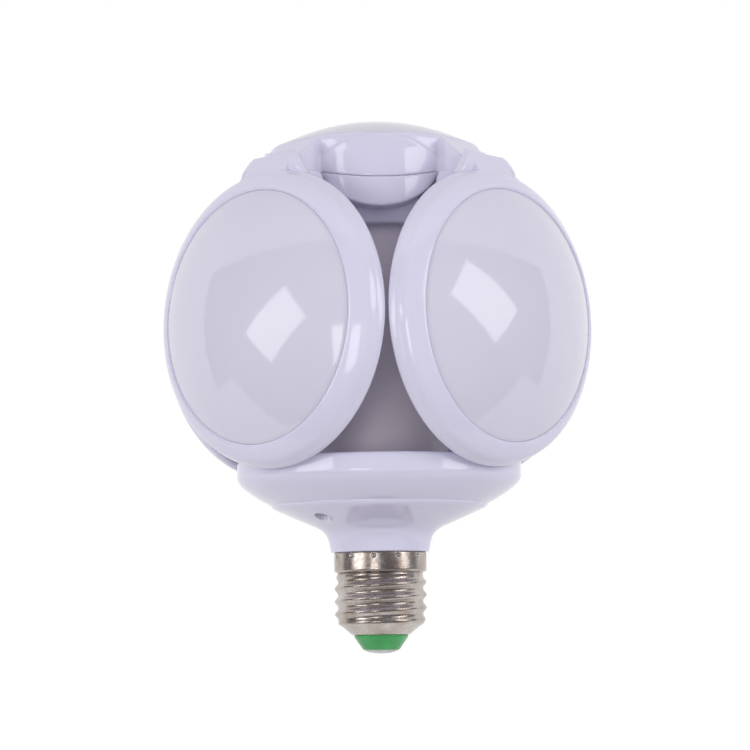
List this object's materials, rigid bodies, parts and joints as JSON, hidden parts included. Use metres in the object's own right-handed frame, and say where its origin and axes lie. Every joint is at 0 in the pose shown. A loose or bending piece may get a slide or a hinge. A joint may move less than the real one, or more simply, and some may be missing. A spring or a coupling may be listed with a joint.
{
  "type": "folding led lamp",
  "caption": "Ceiling lamp with a screw cap whose round domed light leaves fold out on hinges from a ball to a flat cross.",
  "frame": {"origin": "on the lamp's axis, at the upper rim of the screw cap's skirt", "axes": "+Z along the lamp's axis from the cap to the centre panel, +X to the first leaf, +Y to the second"},
  "size_m": [0.1216, 0.1216, 0.1524],
  "materials": {
    "plastic": "glossy white moulding with a faint lavender cast",
    "diffuser": "frosted white, slightly translucent, with a smooth sheen",
    "nickel": "nickel-plated rolled sheet",
    "insulator": "glossy green",
    "contact": "plain solder-topped disc",
    "steel": "zinc-plated",
    "light_board": "white solder mask",
    "diode": "yellow phosphor",
    "driver_board": "green circuit board",
    "black_parts": "black sleeves and packages",
    "copper": "enamelled winding",
    "lead": "insulated wire"
  },
  "bodies": {
    "lamp_body": {"cap_shell": "nickel", "cap_insulator": "insulator", "centre_contact": "contact", "base_cone": "plastic", "base_bowl": "plastic", "base_screws": "steel", "driver_board": "driver_board", "driver_capacitor": "black_parts", "driver_inductor": "copper", "driver_chips": "black_parts", "cap_leads": "lead", "column_tube": "plastic", "column_screws": "steel", "column_leads": "lead", "centre_back_shell": "plastic", "centre_front_shell": "plastic", "centre_diffuser": "diffuser", "centre_light_board": "light_board", "centre_leds": "diode", "centre_screws": "steel", "hinge_pin_1": "steel", "hinge_pin_2": "steel", "hinge_pin_3": "steel", "hinge_pin_4": "steel"},
    "leaf_1": {"leaf_1_front_ring": "plastic", "leaf_1_back_shell": "plastic", "leaf_1_diffuser": "diffuser", "leaf_1_light_board": "light_board", "leaf_1_leds": "diode", "leaf_1_screws": "steel"},
    "leaf_2": {"leaf_2_front_ring": "plastic", "leaf_2_back_shell": "plastic", "leaf_2_diffuser": "diffuser", "leaf_2_light_board": "light_board", "leaf_2_leds": "diode", "leaf_2_screws": "steel"},
    "leaf_3": {"leaf_3_front_ring": "plastic", "leaf_3_back_shell": "plastic", "leaf_3_diffuser": "diffuser", "leaf_3_light_board": "light_board", "leaf_3_leds": "diode", "leaf_3_screws": "steel"},
    "leaf_4": {"leaf_4_front_ring": "plastic", "leaf_4_back_shell": "plastic", "leaf_4_diffuser": "diffuser", "leaf_4_light_board": "light_board", "leaf_4_leds": "diode", "leaf_4_screws": "steel"}
  },
  "joints": [
    {"name": "leaf_1_hinge", "type": "hinge", "parent": "lamp_body", "child": "leaf_1", "pos_m": [0.0374, 0, 0.1082], "axis": [0, -1, 0], "range_deg": [0, 90]},
    {"name": "leaf_2_hinge", "type": "hinge", "parent": "lamp_body", "child": "leaf_2", "pos_m": [0, 0.0374, 0.1082], "axis": [1, 0, 0], "range_deg": [0, 90]},
    {"name": "leaf_3_hinge", "type": "hinge", "parent": "lamp_body", "child": "leaf_3", "pos_m": [-0.0374, 0, 0.1082], "axis": [0, 1, 0], "range_deg": [0, 90]},
    {"name": "leaf_4_hinge", "type": "hinge", "parent": "lamp_body", "child": "leaf_4", "pos_m": [0, -0.0374, 0.1082], "axis": [-1, 0, 0], "range_deg": [0, 90]}
  ]
}
